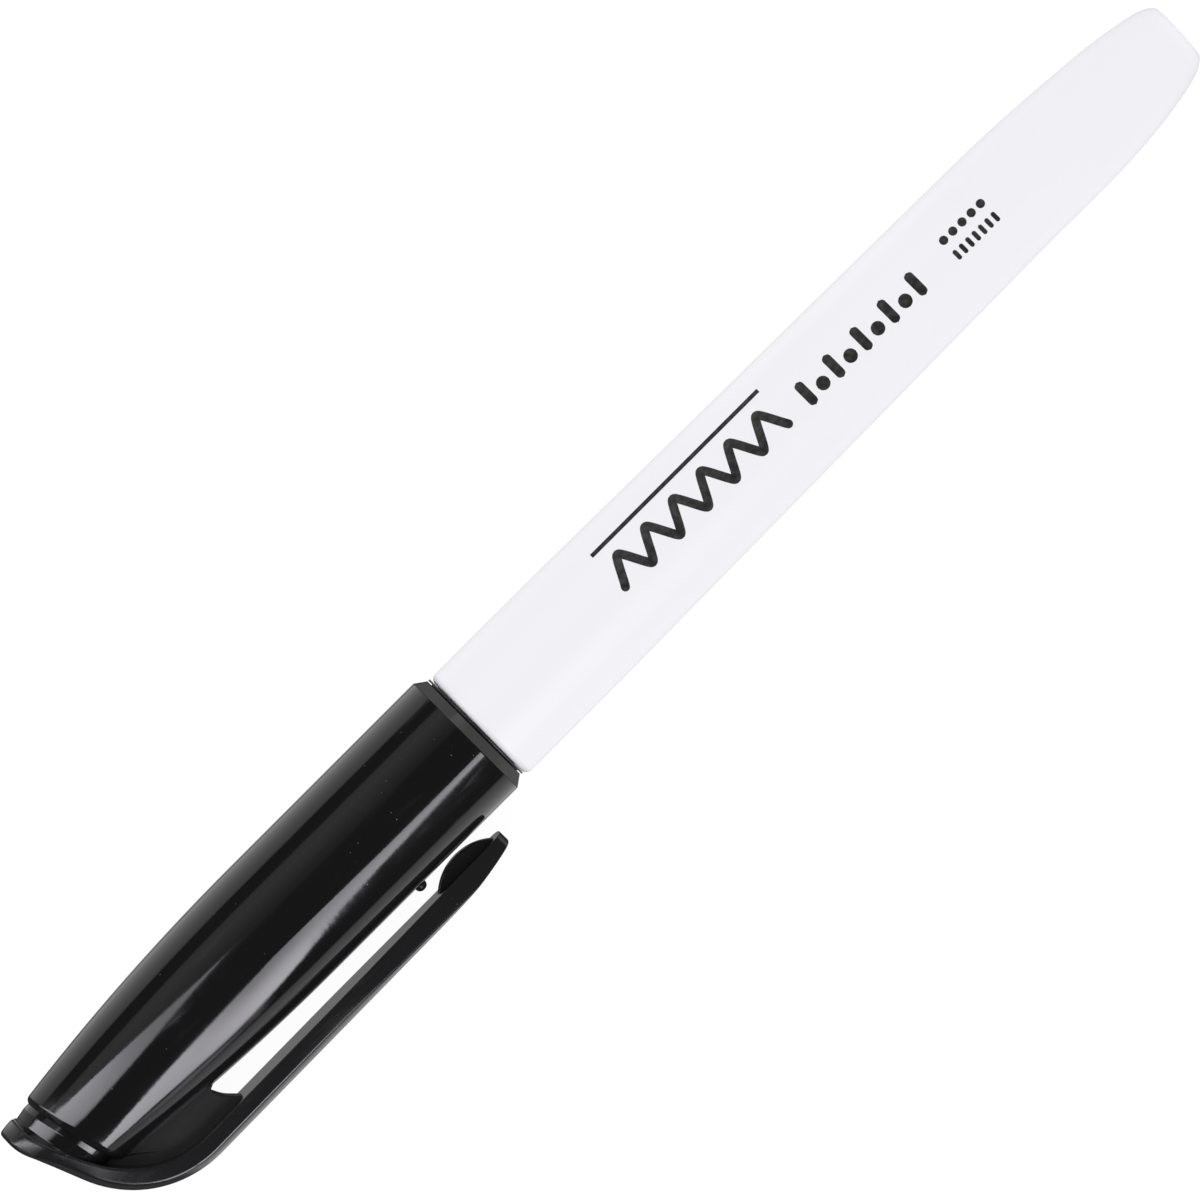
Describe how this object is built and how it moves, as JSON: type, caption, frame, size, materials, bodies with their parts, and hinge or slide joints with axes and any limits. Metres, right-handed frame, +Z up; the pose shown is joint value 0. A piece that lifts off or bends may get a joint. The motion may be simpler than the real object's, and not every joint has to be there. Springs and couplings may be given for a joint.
{
  "type": "whiteboard marker",
  "caption": "Pen-style whiteboard marker: white tapered barrel, felt bullet nib, and a gloss black push-on cap with a springy pocket clip.",
  "frame": {"origin": "on the surface the marker lies on, under the middle of its box", "axes": "+X along the marker's axis, from the cap's end plate to the barrel's tail; +Z up; the clip points to -Y and 25 degrees down, so that its edge rests on the surface beside the cap"},
  "size_m": [0.1368, 0.0162, 0.0125],
  "materials": {
    "barrel_plastic": "smooth moulded gloss, faintly cool white, with black printed marks",
    "holder_plastic": "smooth moulded satin black",
    "nib_felt": "dense pressed fibre, soaked black",
    "reservoir_fibre": "bundled polyester fibre, inked",
    "reservoir_wrap": "thin clear film",
    "cap_plastic": "moulded high gloss black, fine scuffs",
    "seal_plastic": "natural soft polyethylene"
  },
  "bodies": {
    "barrel": {"barrel": "barrel_plastic", "nib_holder": "holder_plastic", "nib": "nib_felt", "reservoir_core": "reservoir_fibre", "reservoir_film": "reservoir_wrap"},
    "cap": {"cap_shell": "cap_plastic", "cap_inner_seal": "seal_plastic"},
    "clip": {"clip_arm": "cap_plastic"}
  },
  "joints": [
    {"name": "cap_slide", "type": "slide", "parent": "barrel", "child": "cap", "axis": [-1, 0, 0], "range_m": [0, 0.05]},
    {"name": "clip_flex", "type": "hinge", "parent": "cap", "child": "clip", "pos_m": [-0.05025, -0.00665, 0.00233], "axis": [0, 0.4189, -0.908], "range_deg": [0, 4.5], "stiffness_Nm_per_rad": 0.45}
  ]
}
